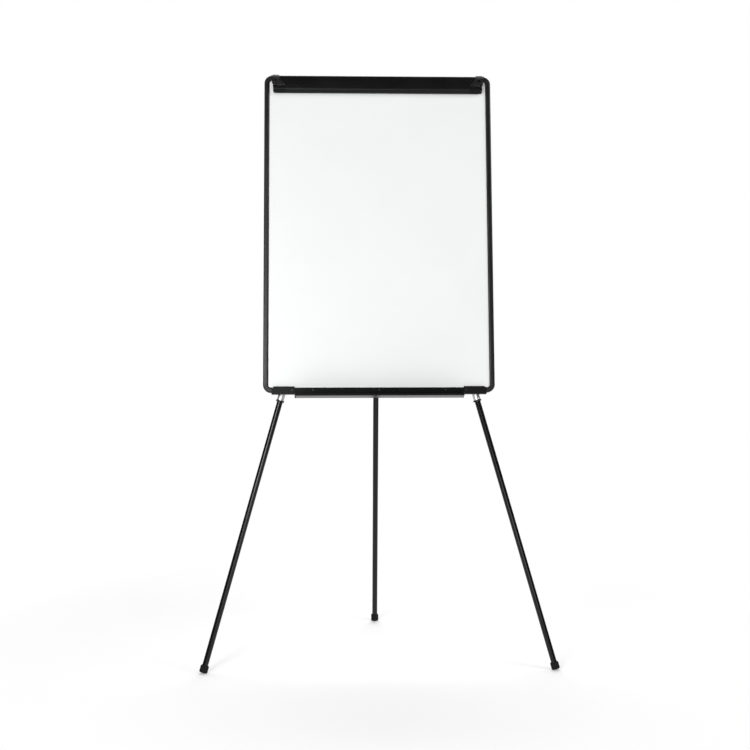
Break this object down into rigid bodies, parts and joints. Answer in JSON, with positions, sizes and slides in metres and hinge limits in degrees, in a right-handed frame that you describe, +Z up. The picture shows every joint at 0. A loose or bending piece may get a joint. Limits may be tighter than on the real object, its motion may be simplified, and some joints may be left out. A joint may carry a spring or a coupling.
{
  "type": "flipchart easel",
  "caption": "Tripod flipchart easel with a framed drywipe board, sprung pad clamp, pen tray and folding telescopic legs.",
  "frame": {"origin": "on the floor, at the middle of the footprint's box", "axes": "+Z up, +X to the right of someone facing the board, the board faces -Y"},
  "size_m": [1.0744, 0.5688, 1.8029],
  "materials": {
    "whiteboard_enamel": "gloss enamel",
    "fibreboard": "matt",
    "grey_backing": "satin",
    "black_frame": "satin black coating",
    "black_corner": "fine grain",
    "bracket_plastic": "fine grain",
    "clamp_black": "satin black coating",
    "tray_black": "satin black coating",
    "zinc_steel": "bright zinc",
    "black_screw": "black zinc",
    "soft_rubber": "matt",
    "black_plastic": "fine grain",
    "chrome_tube": "bright chrome",
    "black_tube": "satin black",
    "foot_rubber": "matt",
    "lock_nylon": "natural nylon"
  },
  "bodies": {
    "board": {"writing_sheet": "whiteboard_enamel", "board_core": "fibreboard", "backing_sheet": "grey_backing", "frame_left": "black_frame", "frame_right": "black_frame", "frame_top": "black_frame", "frame_bottom": "black_frame", "corner_top_left": "black_corner", "corner_top_right": "black_corner", "corner_bottom_left": "black_corner", "corner_bottom_right": "black_corner", "clamp_bracket_left": "bracket_plastic", "clamp_bracket_right": "bracket_plastic", "bracket_screws": "black_screw", "clamp_pivot_pins": "zinc_steel", "clamp_springs": "zinc_steel", "peg_rail": "bracket_plastic", "pen_tray": "tray_black", "tray_cap_left": "bracket_plastic", "tray_cap_right": "bracket_plastic", "tray_screws": "black_screw", "leg_guide_left": "bracket_plastic", "leg_guide_right": "bracket_plastic", "guide_screws": "black_screw", "hub_base": "black_plastic", "hub_cover": "zinc_steel", "hub_screws": "zinc_steel", "front_pivot_bolts": "zinc_steel", "rear_pivot_pin": "zinc_steel"},
    "clamp": {"clamp_bar": "clamp_black", "clamp_cap_left": "bracket_plastic", "clamp_cap_right": "bracket_plastic", "clamp_grip_strip": "soft_rubber"},
    "peg_left": {"pad_peg_left": "black_plastic"},
    "peg_right": {"pad_peg_right": "black_plastic"},
    "left_leg": {"left_leg_head": "black_plastic", "left_outer_tube": "chrome_tube", "left_tube_collar": "black_plastic"},
    "left_lock": {"left_lock_plug": "lock_nylon"},
    "left_inner": {"left_lock_spindle": "zinc_steel", "left_inner_tube": "black_tube", "left_foot": "foot_rubber"},
    "right_leg": {"right_leg_head": "black_plastic", "right_outer_tube": "chrome_tube", "right_tube_collar": "black_plastic"},
    "right_lock": {"right_lock_plug": "lock_nylon"},
    "right_inner": {"right_lock_spindle": "zinc_steel", "right_inner_tube": "black_tube", "right_foot": "foot_rubber"},
    "rear_leg": {"rear_leg_head": "black_plastic", "rear_outer_tube": "chrome_tube", "rear_tube_collar": "black_plastic"},
    "rear_lock": {"rear_lock_plug": "lock_nylon"},
    "rear_inner": {"rear_lock_spindle": "zinc_steel", "rear_inner_tube": "black_tube", "rear_foot": "foot_rubber"}
  },
  "joints": [
    {"name": "clamp_open", "type": "hinge", "parent": "board", "child": "clamp", "pos_m": [0, -0.03034, 1.79368], "axis": [-1, 0, 0], "range_deg": [0, 60], "stiffness_Nm_per_rad": 1.2, "springref_deg": -28.65},
    {"name": "left_peg_slide", "type": "slide", "parent": "board", "child": "peg_left", "axis": [-1, 0, 0], "range_m": [-0.05, 0.08]},
    {"name": "right_peg_slide", "type": "slide", "parent": "board", "child": "peg_right", "axis": [1, 0, 0], "range_m": [-0.05, 0.08]},
    {"name": "left_leg_fold", "type": "hinge", "parent": "board", "child": "left_leg", "pos_m": [-0.0376, 0.00116, 1.73047], "axis": [0, -0.9877, 0.1564], "range_deg": [0, 15.6]},
    {"name": "right_leg_fold", "type": "hinge", "parent": "board", "child": "right_leg", "pos_m": [0.0376, 0.00116, 1.73047], "axis": [0, 0.9877, -0.1564], "range_deg": [0, 15.6]},
    {"name": "rear_leg_fold", "type": "hinge", "parent": "board", "child": "rear_leg", "pos_m": [0, -0.00315, 1.70331], "axis": [-1, 0, 0], "range_deg": [0, 18.2]},
    {"name": "left_leg_slide", "type": "slide", "parent": "left_leg", "child": "left_lock", "axis": [0.2689, 0.1507, 0.9513], "range_m": [-0.088, 0.77]},
    {"name": "left_leg_twist", "type": "hinge", "parent": "left_lock", "child": "left_inner", "pos_m": [-0.0376, 0.00116, 1.73047], "axis": [0.2689, 0.1507, 0.9513], "range_deg": [-150, 0]},
    {"name": "right_leg_slide", "type": "slide", "parent": "right_leg", "child": "right_lock", "axis": [-0.2689, 0.1507, 0.9513], "range_m": [-0.088, 0.77]},
    {"name": "right_leg_twist", "type": "hinge", "parent": "right_lock", "child": "right_inner", "pos_m": [0.0376, 0.00116, 1.73047], "axis": [-0.2689, 0.1507, 0.9513], "range_deg": [-150, 0]},
    {"name": "rear_leg_slide", "type": "slide", "parent": "rear_leg", "child": "rear_lock", "axis": [0, -0.1599, 0.9871], "range_m": [-0.118, 0.678]},
    {"name": "rear_leg_twist", "type": "hinge", "parent": "rear_lock", "child": "rear_inner", "pos_m": [0, -0.00315, 1.70331], "axis": [0, -0.1599, 0.9871], "range_deg": [-150, 0]}
  ]
}
